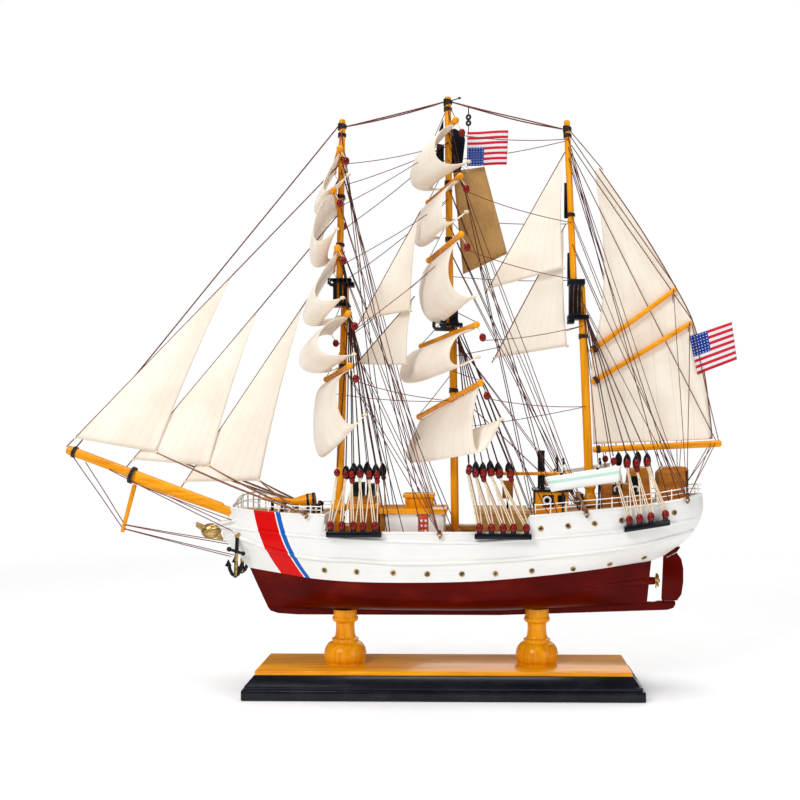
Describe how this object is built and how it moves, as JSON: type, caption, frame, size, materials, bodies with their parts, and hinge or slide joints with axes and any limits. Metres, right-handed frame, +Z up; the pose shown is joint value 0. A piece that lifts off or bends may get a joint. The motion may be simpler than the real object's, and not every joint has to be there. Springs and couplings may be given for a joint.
{
  "type": "tall ship desk model",
  "caption": "Wooden desk model of a three-masted sailing ship with cloth sails, on a moulded plinth with turned pillars.",
  "frame": {"origin": "centre of the underside of the base", "axes": "+X towards the stern, so the bow points to -X; +Y to starboard, so the port side is at -Y; +Z up, the base stands on the surface at Z = 0"},
  "size_m": [0.5006, 0.1154, 0.4406],
  "materials": {
    "honey_varnish": "gloss",
    "brown_wood": "satin",
    "black_lacquer": "gloss",
    "white_paint": "satin",
    "dark_red_gloss": "gloss",
    "cream_canvas": "matte",
    "old_brass": "aged",
    "brown_cord": "matte",
    "printed_flag": "matte"
  },
  "bodies": {
    "ship": {"base_plinth": "black_lacquer", "base_top_plate": "honey_varnish", "pillar_fore": "honey_varnish", "pillar_aft": "honey_varnish", "hull_lower": "dark_red_gloss", "hull_upper": "white_paint", "forecastle_deck": "brown_wood", "waist_deck": "brown_wood", "quarterdeck": "brown_wood", "midship_house": "white_paint", "fore_house": "brown_wood", "foredeck_winch": "honey_varnish", "wheelhouse": "brown_wood", "aft_house": "brown_wood", "stern_house": "brown_wood", "boat_port": "white_paint", "boat_starboard": "white_paint", "bowsprit": "honey_varnish", "dolphin_striker": "honey_varnish", "figurehead": "old_brass", "anchor_port": "black_lacquer", "anchor_starboard": "black_lacquer", "fore_lower_mast": "honey_varnish", "fore_topmast": "honey_varnish", "main_lower_mast": "honey_varnish", "main_topmast": "honey_varnish", "mizzen_lower_mast": "honey_varnish", "mizzen_topmast": "honey_varnish", "fore_royal": "cream_canvas", "fore_topgallant": "cream_canvas", "fore_upper_topsail": "cream_canvas", "fore_lower_topsail": "cream_canvas", "fore_course": "cream_canvas", "main_royal": "cream_canvas", "main_topgallant": "cream_canvas", "main_upper_topsail": "cream_canvas", "main_lower_topsail": "cream_canvas", "main_course": "cream_canvas", "outer_jib": "cream_canvas", "middle_jib": "cream_canvas", "inner_jib": "cream_canvas", "main_upper_staysail": "cream_canvas", "main_lower_staysail": "cream_canvas", "mizzen_upper_staysail": "cream_canvas", "mizzen_lower_staysail": "cream_canvas", "upper_gaff": "honey_varnish", "lower_gaff": "honey_varnish", "spanker_boom": "honey_varnish", "spanker": "cream_canvas", "fore_shrouds_port": "black_lacquer", "fore_shrouds_starboard": "black_lacquer", "main_shrouds_port": "black_lacquer", "main_shrouds_starboard": "black_lacquer", "mizzen_shrouds_port": "black_lacquer", "mizzen_shrouds_starboard": "black_lacquer", "masthead_stays": "brown_cord", "stern_flag": "printed_flag", "masthead_flag": "printed_flag"},
    "propeller": {"propeller": "old_brass"},
    "rudder": {"rudder": "dark_red_gloss"}
  },
  "joints": [
    {"name": "propeller_spin", "type": "hinge", "parent": "ship", "child": "propeller", "pos_m": [0.1576, 0, 0.0808], "axis": [1, 0, 0], "continuous": true},
    {"name": "rudder_turn", "type": "hinge", "parent": "ship", "child": "rudder", "pos_m": [0.1622, 0, 0.0664], "axis": [0.0429, 0, 0.9991], "range_deg": [-35, 35]}
  ]
}
